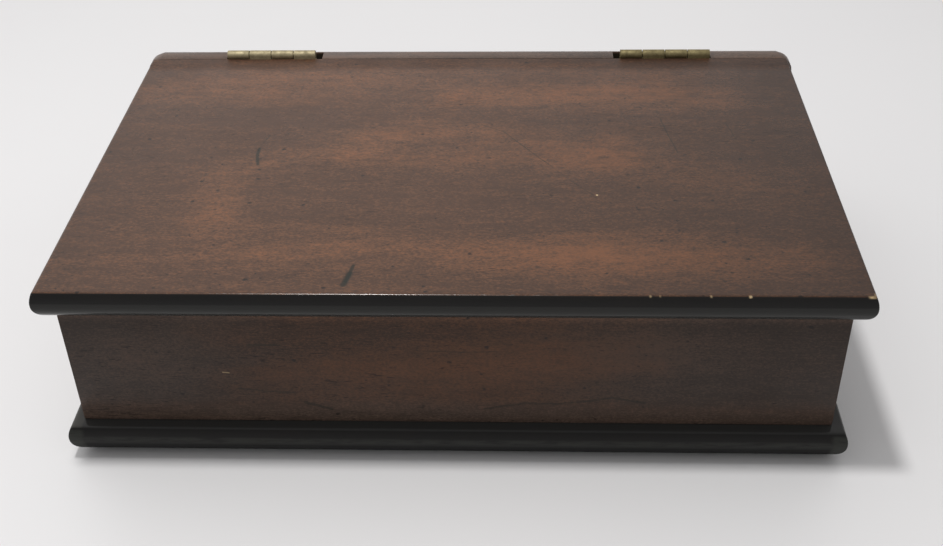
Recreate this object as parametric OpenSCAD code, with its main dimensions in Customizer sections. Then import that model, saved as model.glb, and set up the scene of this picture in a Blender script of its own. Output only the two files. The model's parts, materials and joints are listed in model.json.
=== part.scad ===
// A hinged wooden card box in the form of a book: a nosed base board and a nosed lid, three
// walls set back between them, and a full-height spine board that carries two brass hinges.
// Millimetres. The origin is on the underside, below the middle of the box. Front is -Y.

/* [Boards] */
// Width of the lid, over its rounded noses
box_width = 230; // [200:1:280]
// Width of the base, over its rounded noses
base_width = 229.2; // [200:0.1:280]
// Depth of the lid, from its front nose to its square rear edge
lid_depth = 141.4; // [110:0.1:180]
// Thickness of the lid, base and spine boards
board = 9.6; // [8:0.1:12]
// Gap between the lid's rear edge and the spine
seam = 0.4; // [0.2:0.1:0.8]
// Thickness of the felt pad under the base
pad_thickness = 1.8; // [1:0.1:3]
// How far the pad stands in from the edges of the base
pad_setback = 7; // [6:0.5:15]

/* [Nosed edges] */
// How far the top arris of the lid stands in from the nose
lid_arris_inset = 1.1; // [0.5:0.1:3]
// How far the nose of the lid lies below its top face
lid_nose_drop = 4.2; // [3:0.1:5]
// How far the lower edge of the lid stands in from the nose
lid_under_inset = 4.6; // [3:0.1:5]
// How far the top arris of the base stands in from the nose
base_arris_inset = 1.3; // [0.5:0.1:3]
// How far the nose of the base lies below its top face
base_nose_drop = 4; // [3:0.1:5]
// How far the lower edge of the base stands in from the nose
base_under_inset = 2.6; // [2:0.1:6]

/* [Walls] */
// Height of the walls between the base and the lid
wall_height = 40.2; // [30:0.1:70]
// Thickness of the walls
wall = 8; // [5:0.5:12]
// How far the side walls stand in from the noses
side_setback = 4.8; // [4:0.1:10]
// How far the front wall stands in from the nose
front_setback = 4.6; // [4:0.1:10]

/* [Spine] */
// How far the spine stands out past the lid at each end
spine_overhang = 1.4; // [0:0.1:3]
// Radius of the spine's rear edges and of its corners
spine_radius = 5.2; // [2:0.1:6]

/* [Hinges] */
// Length of each hinge
hinge_length = 31.75; // [25:0.05:34]
// Distance between the middles of the two hinges
hinge_spacing = 141.6; // [100:0.1:144]
// Radius of the hinge barrel
barrel_radius = 1.6; // [1.5:0.05:2]
// Thickness of the hinge leaves
leaf = 0.9; // [0.6:0.05:1]
// Height of the hinge axis above the lid's top face
axis_rise = 1; // [1:0.1:2]
// How far the leaves reach below the lid's top face
leaf_drop = 8.6; // [8:0.1:9]
// Number of knuckles on each hinge, shared in turn by its two leaves
knuckles = 4; // [2:1:6]
// Gap between neighbouring knuckles
knuckle_gap = 0.35; // [0.1:0.05:0.4]
// Radius of the hinge pin
pin_radius = 0.75; // [0.5:0.05:0.9]
// Radial clearance of the pin in the knuckles, and of the screws in their holes
clearance = 0.05; // [0.03:0.01:0.08]

/* [Hinge notches] */
// Length of each notch in the spine
notch_length = 34.6; // [34.5:0.1:40]
// Distance between the middles of the two notches
notch_spacing = 139.6; // [100:0.1:144]
// Room under the leaves, at the bottom of the notch
notch_floor_gap = 0.4; // [0.2:0.1:1]
// Depth of the wider recess behind the barrel, from the spine's front face
recess_depth = 5.2; // [4:0.1:6]
// Height of that recess, down from the spine's top face
recess_height = 2.8; // [2.5:0.1:4]

/* [Screws] */
// Radius of the countersunk screw heads
head_radius = 1.8; // [1.5:0.05:2]
// Radius of the screw shanks
shank_radius = 0.9; // [0.7:0.05:1]
// Length of the screws, head included
screw_length = 5.5; // [4:0.1:6]
// Distance between the two screws of a leaf
screw_spacing = 16; // [12:0.1:20]
// How far the screws lie below the lid's top face
screw_drop = 5.2; // [4.8:0.1:5.6]

/* [Inside] */
// Thickness of the felt linings
felt = 1; // [0.5:0.1:2]
// Gap between the lid's lining and the felt on the walls, when shut
lining_gap = 1; // [0.5:0.1:3]
// Thickness of the two dividers
divider = 4; // [3:0.5:8]
// Height of the dividers above the floor lining
divider_height = 33; // [15:0.5:36]
// Gap at each end of a divider
divider_gap = 0.2; // [0.1:0.1:0.5]

/* [Hidden] */

MAHOGANY = "#4a2a20";
DARK_MAHOGANY = "#331c16";
BRASS = "#a8985c";
FELT = "#24452f";
LEFT = -1;
RIGHT = 1;
CUT = 1;          // how far a cutting shape runs past the face it cuts
SLOT_WIDTH = 0.5; // screwdriver slot in a screw head
SLOT_DEPTH = 0.35;

half_width = box_width / 2;
overall_depth = lid_depth + seam + board;
front_y = -overall_depth / 2;
lid_rear_y = front_y + lid_depth;
spine_front_y = lid_rear_y + seam;

base_top_z = pad_thickness + board;
lid_z = base_top_z + wall_height;
top_z = lid_z + board;
spine_height = top_z - pad_thickness;
spine_length = box_width + 2 * spine_overhang;

wall_outer_x = half_width - side_setback;
wall_outer_y = front_y + front_setback;
inner_x = wall_outer_x - wall;
inner_front_y = wall_outer_y + wall;
inner_depth = spine_front_y - inner_front_y;

floor_z = base_top_z + felt;
lining_height = lid_z - felt / 2 - floor_z;
well_width = (2 * (inner_x - felt) - 2 * divider) / 3;
divider_x = (well_width + divider) / 2;

axis_y = lid_rear_y + barrel_radius;
axis_z = top_z + axis_rise;
knuckle_pitch = (hinge_length + knuckle_gap) / knuckles;
leaf_below_axis = axis_rise + leaf_drop;
screw_below_axis = axis_rise + screw_drop;
$fn = 96;

// Radius of an arc that starts upright at a nose and stands in by inset after rising by height
function nose_radius(inset, height) = (inset * inset + height * height) / (2 * inset);

// ---- Boards ----

// One half of a nosed section: upright at y = 0, standing in by inset at y = height
module nose_band(span, inset, height) {
    r = nose_radius(inset, height);
    intersection() {
        square([span, height]);
        union() {
            translate([r, 0]) circle(r = r);
            translate([span - r, 0]) circle(r = r);
            translate([r, 0]) square([span - 2 * r, height]);
        }
    }
}

// Cross-section of a board with a nose at both ends, its underside at y = 0
module nosed_section(span, arris_inset, nose_drop, under_inset) {
    translate([0, board - nose_drop]) {
        nose_band(span, arris_inset, nose_drop);
        mirror([0, 1]) nose_band(span, under_inset, board - nose_drop);
    }
}

// A board nosed along its front and sides, with mitred corners and a square rear edge
module nosed_board(width, depth, arris_inset, nose_drop, under_inset) {
    intersection() {
        translate([-width / 2, front_y + depth, 0])
            rotate([90, 0, 0])
                linear_extrude(depth)
                    nosed_section(width, arris_inset, nose_drop, under_inset);
        translate([-width / 2, front_y, 0])
            rotate([90, 0, 90])
                linear_extrude(width)
                    nosed_section(2 * depth, arris_inset, nose_drop, under_inset);
    }
}

module base_board() {
    color(DARK_MAHOGANY)
        translate([0, 0, pad_thickness])
            nosed_board(base_width, lid_depth + seam, base_arris_inset, base_nose_drop,
                base_under_inset);
}

module lid_board() {
    color(MAHOGANY)
        difference() {
            translate([0, 0, lid_z])
                nosed_board(box_width, lid_depth, lid_arris_inset, lid_nose_drop,
                    lid_under_inset);
            for (side = [LEFT, RIGHT])
                at_hinge(side) pilot_holes();
        }
}

// ---- Walls ----

// A wall standing on the base, from its plan outline
module wall_from(outline) {
    translate([0, 0, base_top_z]) linear_extrude(wall_height) polygon(outline);
}

module front_wall() {
    color(MAHOGANY)
        wall_from([
            [-wall_outer_x, wall_outer_y], [wall_outer_x, wall_outer_y],
            [inner_x, inner_front_y], [-inner_x, inner_front_y]
        ]);
}

module side_wall(side) {
    color(MAHOGANY)
        wall_from([
            [side * wall_outer_x, wall_outer_y], [side * inner_x, inner_front_y],
            [side * inner_x, spine_front_y], [side * wall_outer_x, spine_front_y]
        ]);
}

// ---- Spine ----

module rounded_rectangle(width, height, r) {
    translate([r, 0]) square([width - 2 * r, height]);
    translate([0, r]) square([width, height - 2 * r]);
    for (x = [r, width - r], y = [r, height - r])
        translate([x, y]) circle(r = r);
}

// A board on edge, rounded along its rear edges and at its corners; its front face is flat
module spine_blank() {
    r = spine_radius;
    flat = board - r;
    length = spine_length - 2 * r;
    height = spine_height - 2 * r;
    translate([-spine_length / 2, spine_front_y, pad_thickness])
        difference() {
            union() {
                translate([0, flat, 0])
                    rotate([90, 0, 0])
                        linear_extrude(flat + CUT)
                            rounded_rectangle(spine_length, spine_height, r);
                translate([r, 0, r]) cube([length, board, height]);
                for (z = [r, spine_height - r])
                    translate([r, flat, z]) rotate([0, 90, 0]) cylinder(h = length, r = r);
                for (x = [r, spine_length - r]) {
                    translate([x, flat, r]) cylinder(h = height, r = r);
                    for (z = [r, spine_height - r])
                        translate([x, flat, z]) sphere(r = r);
                }
            }
            translate([-CUT, -2 * CUT, -CUT])
                cube([spine_length + 2 * CUT, 2 * CUT, spine_height + 2 * CUT]);
        }
}

// The room cut for one hinge: a seat for the leaves and a deeper recess behind the barrel
module hinge_notch(side) {
    seat_drop = leaf_drop + notch_floor_gap;
    seat_depth = 2 * barrel_radius - seam;
    translate([side * notch_spacing / 2 - notch_length / 2, spine_front_y - CUT, 0]) {
        translate([0, 0, top_z - seat_drop])
            cube([notch_length, seat_depth + CUT, seat_drop + CUT]);
        translate([0, 0, top_z - recess_height])
            cube([notch_length, recess_depth + CUT, recess_height + CUT]);
    }
}

module spine_board() {
    color(MAHOGANY)
        difference() {
            spine_blank();
            for (side = [LEFT, RIGHT]) {
                hinge_notch(side);
                at_hinge(side) mirror([0, 1, 0]) pilot_holes();
            }
        }
}

// ---- Hinges, drawn about their own axis: the lid's leaf is towards -Y ----

module at_hinge(side) {
    translate([side * hinge_spacing / 2, axis_y, axis_z]) children();
}

module along_axis(length, radius) {
    rotate([0, 90, 0]) cylinder(h = length, r = radius, center = true);
}

// Puts a child at each screw of a leaf, with its +Z out of the leaf's inner face
module at_screws() {
    for (x = [-screw_spacing / 2, screw_spacing / 2])
        translate([x, leaf - barrel_radius, -screw_below_axis])
            rotate([-90, 0, 0]) children();
}

// The form of a screw below the leaf's inner face, grown by a clearance
module screw_form(grow, length) {
    cone = head_radius - shank_radius;
    translate([0, 0, -cone]) cylinder(h = cone, r1 = shank_radius + grow, r2 = head_radius + grow);
    translate([0, 0, -length]) cylinder(h = length, r = shank_radius + grow);
}

module pilot_holes() {
    at_screws() screw_form(clearance, screw_length + 2 * clearance);
}

// One leaf and its knuckles; the first is the number of its first knuckle, 0 or 1
module hinge_leaf(first) {
    color(BRASS)
        difference() {
            union() {
                translate([-hinge_length / 2, -barrel_radius, -leaf_below_axis])
                    cube([hinge_length, leaf, leaf_below_axis]);
                for (i = [first : 2 : knuckles - 1])
                    knuckle_place(i) along_axis(knuckle_pitch - knuckle_gap, barrel_radius);
            }
            for (i = [1 - first : 2 : knuckles - 1])
                knuckle_place(i) knuckle_room();
            along_axis(hinge_length + 2 * CUT, pin_radius + clearance);
            at_screws() {
                screw_form(clearance, leaf + CUT);
                cylinder(h = CUT, r = head_radius + clearance);
            }
        }
}

module knuckle_place(i) {
    translate([(i + 0.5) * knuckle_pitch - (hinge_length + knuckle_gap) / 2, 0, 0]) children();
}

// Clears one leaf away from a knuckle of the other
module knuckle_room() {
    room = barrel_radius + 2 * knuckle_gap;
    translate([-(knuckle_pitch + knuckle_gap) / 2, -room, -room])
        cube([knuckle_pitch + knuckle_gap, 2 * room, 2 * room]);
}

module lid_leaf(side) {
    at_hinge(side) hinge_leaf(1);
}

module case_leaf(side) {
    at_hinge(side) mirror([0, 1, 0]) hinge_leaf(0);
}

module hinge_pin(side) {
    color(BRASS) at_hinge(side) along_axis(hinge_length, pin_radius);
}

module leaf_screws() {
    color(BRASS)
        at_screws()
            difference() {
                screw_form(0, screw_length);
                translate([-head_radius - CUT, -SLOT_WIDTH / 2, -SLOT_DEPTH])
                    cube([2 * (head_radius + CUT), SLOT_WIDTH, SLOT_DEPTH + CUT]);
            }
}

module lid_leaf_screws(side) {
    at_hinge(side) leaf_screws();
}

module case_leaf_screws(side) {
    at_hinge(side) mirror([0, 1, 0]) leaf_screws();
}

// ---- Linings, dividers and pad ----

module floor_lining() {
    color(FELT)
        translate([-inner_x, inner_front_y, base_top_z]) cube([2 * inner_x, inner_depth, felt]);
}

// A strip of felt along the full width of the inside, its front face at y
module cross_lining(y) {
    color(FELT) translate([-inner_x, y, floor_z]) cube([2 * inner_x, felt, lining_height]);
}

module side_lining(side) {
    x = side == LEFT ? -inner_x : inner_x - felt;
    color(FELT)
        translate([x, inner_front_y + felt, floor_z])
            cube([felt, inner_depth - 2 * felt, lining_height]);
}

// A divider from front to back with a half-round top edge
module side_divider(side) {
    length = inner_depth - 2 * (felt + divider_gap);
    color(MAHOGANY)
        translate([side * divider_x, inner_front_y + felt + divider_gap + length, floor_z])
            rotate([90, 0, 0])
                linear_extrude(length) {
                    translate([-divider / 2, 0]) square([divider, divider_height - divider / 2]);
                    translate([0, divider_height - divider / 2]) circle(d = divider);
                }
}

module lid_lining() {
    inset = felt + lining_gap;
    color(FELT)
        translate([-inner_x + inset, inner_front_y + inset, lid_z - felt])
            cube([2 * (inner_x - inset), inner_depth - 2 * inset, felt]);
}

module base_pad() {
    color(FELT)
        translate([-half_width + pad_setback, front_y + pad_setback, 0])
            cube([box_width - 2 * pad_setback, overall_depth - 2 * pad_setback, pad_thickness]);
}

base_board();
front_wall();
side_wall(LEFT);  // left_wall
side_wall(RIGHT);  // right_wall
spine_board();
floor_lining();
cross_lining(inner_front_y);  // front_lining
side_lining(LEFT);  // left_lining
side_lining(RIGHT);  // right_lining
cross_lining(spine_front_y - felt);  // rear_lining
side_divider(LEFT);  // left_divider
side_divider(RIGHT);  // right_divider
base_pad();
case_leaf(LEFT);  // left_hinge_case_leaf
case_leaf(RIGHT);  // right_hinge_case_leaf
hinge_pin(LEFT);  // left_hinge_pin
hinge_pin(RIGHT);  // right_hinge_pin
case_leaf_screws(LEFT);  // left_case_leaf_screws
case_leaf_screws(RIGHT);  // right_case_leaf_screws
lid_board();
lid_lining();
lid_leaf(LEFT);  // left_hinge_lid_leaf
lid_leaf(RIGHT);  // right_hinge_lid_leaf
lid_leaf_screws(LEFT);  // left_lid_leaf_screws
lid_leaf_screws(RIGHT);  // right_lid_leaf_screws
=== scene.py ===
"""The looks of a hinged wooden card box: lacquered mahogany with black noses, felt and aged brass.

The CAD frame gives every place and size. Each board, hinge part, screw and felt is a detailed mesh
that stands for its CAD node and rides on the same body.
"""

import json
import math
import random
from functools import reduce

import bmesh
import bpy
from mathutils import Euler, Matrix, Vector, noise


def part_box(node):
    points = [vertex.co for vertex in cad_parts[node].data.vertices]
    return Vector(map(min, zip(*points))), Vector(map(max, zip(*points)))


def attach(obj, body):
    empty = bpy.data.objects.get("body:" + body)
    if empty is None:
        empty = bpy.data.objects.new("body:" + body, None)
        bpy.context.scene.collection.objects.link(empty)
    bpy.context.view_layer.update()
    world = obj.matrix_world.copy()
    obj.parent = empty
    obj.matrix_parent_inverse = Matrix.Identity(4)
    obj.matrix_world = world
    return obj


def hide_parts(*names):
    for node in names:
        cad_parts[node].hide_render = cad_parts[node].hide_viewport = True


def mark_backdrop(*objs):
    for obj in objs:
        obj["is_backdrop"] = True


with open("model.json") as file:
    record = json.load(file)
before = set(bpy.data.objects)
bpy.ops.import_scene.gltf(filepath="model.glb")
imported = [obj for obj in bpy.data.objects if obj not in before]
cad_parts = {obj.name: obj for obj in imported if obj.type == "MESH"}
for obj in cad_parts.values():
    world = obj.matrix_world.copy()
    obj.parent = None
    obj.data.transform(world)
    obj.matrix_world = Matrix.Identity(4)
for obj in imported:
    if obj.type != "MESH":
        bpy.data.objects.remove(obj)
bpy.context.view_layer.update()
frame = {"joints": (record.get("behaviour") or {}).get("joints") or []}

MM = 0.001
SEED = 7
SHARP_ANGLE = 38      # degrees between two faces from which their edge shades as sharp


def in_mm(corner):
    return Vector(corner) / MM


def box_in_mm(node):
    """The two corners of a CAD node's box, in millimetres."""
    low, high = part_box(node)
    return in_mm(low), in_mm(high)


# ---- Places and sizes read from the frame, in millimetres ----

HINGE_AXIS = in_mm(frame["joints"][0]["pos_m"])
LID_LOW, LID_HIGH = box_in_mm("lid_board")
BASE_LOW, BASE_HIGH = box_in_mm("base_board")
SPINE_LOW, SPINE_HIGH = box_in_mm("spine_board")
FRONT_LOW, FRONT_HIGH = box_in_mm("front_wall")
LEFT_WALL_X = box_in_mm("left_wall")[0].x
WALL = FRONT_HIGH.y - FRONT_LOW.y
INNER_X = FRONT_HIGH.x - WALL
TOP_Z = LID_HIGH.z
LEDGE_Z = BASE_HIGH.z

# ---- Shapes of the boards' edges, in millimetres ----

LID_NOSE = {"arris_inset": 1.1, "nose_drop": 4.2, "under_inset": 4.6}
BASE_NOSE = {"arris_inset": 1.3, "nose_drop": 4.0, "under_inset": 2.6}
LID_NOSE_Z = TOP_Z - LID_NOSE["nose_drop"]          # the widest part of each nose
BASE_NOSE_Z = LEDGE_Z - BASE_NOSE["nose_drop"]
UPPER_NOSE_STEPS = 7
LOWER_NOSE_STEPS = 12
FLAT_RIM = 12         # the board's edge is swept from this far in, top and bottom
ARRIS_SOFTNESS = 0.6  # reach of the rounding along the boards' top arris
ARRIS_STEPS = 5
BLACK_FROM = 0.12     # how far below the top face the other colour of the edge begins
CORNER_RADIUS = 0.45  # plan radius of the boards' front corners
CORNER_STEPS = 5
REAR_SOFTNESS = 0.15  # rounding of the square rear edges
REAR_STEPS = 4
REAR_STRIPS = 6       # strips across the boards at that rounding, the last ones flat
LID_STEP = 0.25       # length of the faces along the noses
BASE_STEP = 0.8
SEAM_FILL = 0.2       # how far the lid's rear edge swells into the seam in front of the spine

# ---- Wear along the boards' top arris, in millimetres ----

WORN_ROWS = 3         # rows of vertices on each side of the arris that wear reaches
ARRIS_WEAR = 0.05     # deepest general rubbing
FRONT_STRIP = 1.5     # chips are within this distance of the front arris
FULL_CHIP = 0.14      # depth at which a chip shows bare wood
LID_DINGS = [
    # place along the front arris, reach, depth
    (54.0, 0.35, 0.06), (56.6, 0.3, 0.03), (70.2, 0.35, 0.06), (80.6, 0.45, 0.16),
    (112.9, 1.3, 0.10),
]

# ---- Spine, walls and dividers, in millimetres ----

SPINE_RADIUS = 5.2    # rounding of the spine's rear edges and corners
SPINE_EDGE = 0.14     # bevel on its other edges
WALL_EDGE = 0.3       # bevel on the walls' edges
DIVIDER_EDGE = 0.25   # bevel on the ends of the dividers

# ---- Hinges and screws, in millimetres ----

LEAF = 0.9
BORE_RADIUS = 0.8
PIN_RADIUS = 0.75
KNUCKLES = 4
KNUCKLE_GAP = 0.35
LEAF_CUT_BACK = 2.0   # how far below the axis a leaf is cut back for the other leaf's knuckles
ROLL_END = 112        # degrees below the horizontal where the rolled knuckle stops
SCREW_SPACING = 16
SCREW_BELOW_AXIS = 6.2
LEAF_CORNER = 0.7
LEAF_EDGE = 0.07      # bevel on the leaves' edges
PIN_DOME = 0.25       # height of the peened ends of the pins
HEAD_RADIUS = 1.8
SHANK_RADIUS = 0.9
THREAD_ROOT = 0.66
THREAD_PITCH = 0.7
SCREW_LENGTH = 5.5
SLOT_WIDTH = 0.5
SLOT_DEPTH = 0.35
CLEARANCE = 0.05      # between a screw and its hole in the leaf

# ---- Notches in the spine, in millimetres ----

NOTCH_LENGTH = 34.6
NOTCH_SPACING = 139.6
SEAT_BACK = 3.2       # from the lid's rear edge to the back of the leaf seat
SEAT_DROP = 9.0
RECESS_BACK = 5.6     # from the lid's rear edge to the back of the barrel recess
RECESS_DROP = 2.8


# ======== Mesh helpers ========

def smooth(mesh):
    """Shades a mesh smooth, except at its sharp edges."""
    for polygon in mesh.polygons:
        polygon.use_smooth = True
    mesh.set_sharp_from_angle(angle=math.radians(SHARP_ANGLE))


def added(name, data):
    """A new object in the scene."""
    made = bpy.data.objects.new(name, data)
    bpy.context.scene.collection.objects.link(made)
    return made


def mesh_piece(name, bm, materials):
    """Turns a bmesh in millimetres into an object in metres."""
    bmesh.ops.recalc_face_normals(bm, faces=bm.faces[:])
    mesh = bpy.data.meshes.new(name)
    bm.to_mesh(mesh)
    bm.free()
    mesh.transform(Matrix.Scale(MM, 4))
    smooth(mesh)
    for material in materials:
        mesh.materials.append(material)
    return added(name, mesh)


def stand_for(piece, body):
    """The piece rides on a body and stands for the CAD node of its name."""
    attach(piece, body)
    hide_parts(piece.name.lower())
    return piece


def apply_modifiers(piece):
    """Bakes the piece's modifiers into its mesh."""
    depsgraph = bpy.context.evaluated_depsgraph_get()
    mesh = bpy.data.meshes.new_from_object(piece.evaluated_get(depsgraph))
    old = piece.data
    piece.modifiers.clear()
    piece.data = mesh
    bpy.data.meshes.remove(old)
    smooth(mesh)
    return piece


def bevel(piece, width, segments=3, angle=40):
    """Rounds the piece's sharp edges; width is in millimetres."""
    modifier = piece.modifiers.new("Eased edges", "BEVEL")
    modifier.width = width * MM
    modifier.segments = segments
    modifier.limit_method = "ANGLE"
    modifier.angle_limit = math.radians(angle)
    return apply_modifiers(piece)


def combine(piece, other, operation):
    """Boolean of two pieces; the other one is used up."""
    modifier = piece.modifiers.new(operation.title(), "BOOLEAN")
    modifier.operation = operation
    modifier.solver = "EXACT"
    modifier.object = other
    apply_modifiers(piece)
    bpy.data.objects.remove(other)
    return piece


def prism(bm, outline, height, place):
    """Adds a closed prism to bm. place(a, b, h) puts an outline point at height h in space."""
    rows = [[bm.verts.new(place(a, b, h)) for a, b in outline] for h in (0, height)]
    count = len(outline)
    for i in range(count):
        j = (i + 1) % count
        bm.faces.new((rows[0][i], rows[0][j], rows[1][j], rows[1][i]))
    bm.faces.new(rows[0][::-1])
    bm.faces.new(rows[1])


def box_mesh(low, high):
    """A bmesh box between two corners in millimetres."""
    bm = bmesh.new()
    outline = [(low[0], low[1]), (high[0], low[1]), (high[0], high[1]), (low[0], high[1])]
    prism(bm, outline, high[2] - low[2], lambda a, b, h: (a, b, low[2] + h))
    return bm


def arc_points(centre, radius, start, end, steps):
    """Points along an arc, from start to end in degrees, both included."""
    points = []
    for k in range(steps + 1):
        angle = math.radians(start + (end - start) * k / steps)
        points.append((centre[0] + radius * math.cos(angle), centre[1] + radius * math.sin(angle)))
    return points


def softened(points, index, reach, steps):
    """Replaces one corner of an open line of points with a smooth curve."""
    corner = Vector(points[index])
    before = Vector(points[index - 1]) - corner
    after = Vector(points[index + 1]) - corner
    start = corner + before.normalized() * min(reach, 0.9 * before.length)
    end = corner + after.normalized() * min(reach, 0.9 * after.length)
    curve = []
    for k in range(steps + 1):
        t = k / steps
        curve.append(tuple((1 - t) ** 2 * start + 2 * t * (1 - t) * corner + t * t * end))
    return points[:index] + curve + points[index + 1:]


# ======== Materials ========

DOT_SHARPNESS = 2.2
LINE_WAVER = 0.25     # how far a drawn line shakes, in millimetres


class Shader:
    """Builds one procedural material. Sockets and plain numbers can stand for each other; place
    and x, y, z are in millimetres."""

    def __init__(self, name, **constants):
        self.material = bpy.data.materials.new(name)
        self.material.use_nodes = True
        self.tree = self.material.node_tree
        self.tree.nodes.clear()
        self.surface = self.node("BsdfPrincipled")
        output = self.node("OutputMaterial")
        self.tree.links.new(self.surface.outputs[0], output.inputs["Surface"])
        for socket, value in constants.items():
            self.surface.inputs[socket.replace("_", " ")].default_value = value
        coordinates = self.node("TexCoord").outputs["Object"]
        self.place = self.scaled(coordinates, (1 / MM,) * 3)
        self.x, self.y, self.z = self.split(self.place)

    def node(self, kind, inputs=None, **settings):
        made = self.tree.nodes.new("ShaderNode" + kind)
        for key, value in settings.items():
            setattr(made, key, value)
        for key, value in (inputs or {}).items():
            self.feed(made.inputs[key], value)
        return made

    def feed(self, socket, value):
        if isinstance(value, bpy.types.NodeSocket):
            self.tree.links.new(value, socket)
        elif value is not None:
            socket.default_value = value

    def set(self, **values):
        for socket, value in values.items():
            self.feed(self.surface.inputs[socket.replace("_", " ")], value)

    def maths(self, operation, a, b=None, clamp=False):
        inputs = {0: a, 1: b}
        return self.node("Math", inputs, operation=operation, use_clamp=clamp).outputs[0]

    def times(self, a, b, clamp=False):
        return self.maths("MULTIPLY", a, b, clamp)

    def plus(self, a, b):
        return self.maths("ADD", a, b)

    def minus(self, a, b):
        return self.maths("SUBTRACT", a, b)

    def vector(self, operation, a, b):
        made = self.node("VectorMath", {0: a, 1: b}, operation=operation)
        return made.outputs["Value" if operation in ("DOT_PRODUCT", "DISTANCE") else 0]

    def scaled(self, vector, scale):
        return self.vector("MULTIPLY", vector, tuple(scale))

    def split(self, vector):
        return self.node("SeparateXYZ", {0: vector}).outputs

    def joined(self, x, y, z):
        return self.node("CombineXYZ", {0: x, 1: y, 2: z}).outputs[0]

    def noise(self, vector, scale=1.0, detail=2.0, roughness=0.5, distortion=0.0, output="Fac"):
        inputs = {
            "Vector": vector, "Scale": scale, "Detail": detail,
            "Roughness": roughness, "Distortion": distortion,
        }
        return self.node("TexNoise", inputs).outputs[output]

    def stretched(self, place, cycles, *settings, **more):
        """Noise with its own number of cycles to a millimetre on each axis."""
        return self.noise(self.scaled(place, cycles), 1.0, *settings, **more)

    def between(self, value, low, high, out_low=0.0, out_high=1.0):
        """Smooth step of value from low to high."""
        inputs = {
            "Value": value, "From Min": low, "From Max": high,
            "To Min": out_low, "To Max": out_high,
        }
        return self.node("MapRange", inputs, interpolation_type="SMOOTHSTEP").outputs[0]

    def mix(self, factor, a, b):
        """Mixes two colours."""
        made = self.node("Mix", data_type="RGBA", clamp_factor=True)
        for socket, value in zip((made.inputs[0], made.inputs[6], made.inputs[7]), (factor, a, b)):
            self.feed(socket, rgba(value))
        return made.outputs[2]

    def dimmed(self, colour, factor):
        """A colour times a grey factor."""
        made = self.node("Mix", data_type="RGBA", blend_type="MULTIPLY")
        self.feed(made.inputs[0], 1.0)
        self.feed(made.inputs[6], rgba(colour))
        self.feed(made.inputs[7], factor)
        return made.outputs[2]

    def bump(self, height, depth, normal=None):
        """Bump from a height of 0 to 1 that stands for depth millimetres."""
        inputs = {"Height": height, "Distance": depth * MM, "Strength": 1.0, "Normal": normal}
        return self.node("Bump", inputs).outputs[0]

    def dots(self, vector, reach):
        """Round dots of mixed sizes, one to a cell at most; reach is in cells."""
        cell = self.node("TexVoronoi", {"Vector": vector, "Scale": 1.0})
        size = self.between(self.split(cell.outputs["Color"])[0], 0.2, 1.0, 0.0, reach)
        inside = self.minus(size, cell.outputs["Distance"])
        return self.times(inside, DOT_SHARPNESS / reach, clamp=True)

    def attribute(self, name):
        return self.node("Attribute", attribute_name=name).outputs["Fac"]


def rgba(value):
    """A plain colour gets its alpha; a socket or a number stays as it is."""
    return (*value, 1.0) if isinstance(value, tuple) and len(value) == 3 else value


def along_grain(s, axis):
    """The place with its first number along the grain."""
    return s.place if axis == "X" else s.joined(s.y, s.x, s.z)


def streak(s, place, centre, size, turn):
    """A soft lens of figure, 1 in the middle; its size is its half lengths in millimetres."""
    offset = s.vector("SUBTRACT", place, (*centre, 0))
    turned = s.node("VectorRotate", {"Vector": offset, "Angle": math.radians(turn)})
    turned.rotation_type = "Z_AXIS"
    flat = s.scaled(turned.outputs[0], (1 / size[0], 1 / size[1], 0))
    far = s.vector("DOT_PRODUCT", flat, flat)
    return s.maths("EXPONENT", s.times(far, -1.0))


def from_line(s, place, points):
    """How far a place is from a line of points drawn on the XY plane, in millimetres."""
    nearest = None
    for start, end in zip(points, points[1:]):
        a = Vector((*start, 0))
        span = Vector((*end, 0)) - a
        offset = s.vector("MULTIPLY", s.vector("SUBTRACT", place, tuple(a)), (1, 1, 0))
        along = s.vector("DOT_PRODUCT", offset, tuple(span))
        share = s.maths("DIVIDE", along, span.length_squared, clamp=True)
        foot = s.node("VectorMath", {0: tuple(span), "Scale": share}, operation="SCALE")
        away = s.vector("DISTANCE", offset, foot.outputs[0])
        nearest = away if nearest is None else s.maths("MINIMUM", nearest, away)
    return nearest


def ribbon(s, place, points, reach):
    """A soft band of figure along a line of points, 1 in its middle."""
    share = s.maths("DIVIDE", from_line(s, place, points), reach)
    return s.maths("EXPONENT", s.times(s.times(share, share), -1.0))


def swung(s, place, colour_noise, reach):
    """A place moved about by a colour noise; reach is the noise's full swing on each axis."""
    swing = s.vector("SUBTRACT", colour_noise, (0.5, 0.5, 0.5))
    return s.vector("ADD", place, s.scaled(swing, reach))


def line_mark(s, place, points, width, waver=LINE_WAVER):
    """1 along a line of points drawn on the XY plane, fading out at half its width."""
    shaken = swung(s, place, s.noise(place, 0.6, 2, output="Color"), (waver,) * 3)
    return s.between(from_line(s, shaken, points), width / 2, width / 6)


def drawn_marks(s, place, strokes):
    """Marks from rows of (points, width, darkening, depth)."""
    return [(line_mark(s, place, points, width), darkening, depth)
            for points, width, darkening, depth in strokes]


def patch_light(s, place, patches):
    """Soft figure from rows of (centre, half lengths, turn in degrees, strength)."""
    return [s.times(streak(s, place, centre, size, turn), strength)
            for centre, size, turn, strength in patches]


DARK_WOOD = (0.060, 0.029, 0.017)
MID_WOOD = (0.104, 0.049, 0.026)
LIGHT_WOOD = (0.197, 0.079, 0.034)
BARE_WOOD = (0.55, 0.41, 0.23)
# A grey veil: painted sheen on the spine, painted light at the front's foot, and grey at the
# front's ends
GREY_VEIL = (0.062, 0.045, 0.036)
PORE = (0.010, 0.007, 0.006)
# Dark dents and scratches; in the spine's notches the same colour is painted shade
DENT_AND_NOTCH_SHADE = (0.008, 0.010, 0.006)

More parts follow.
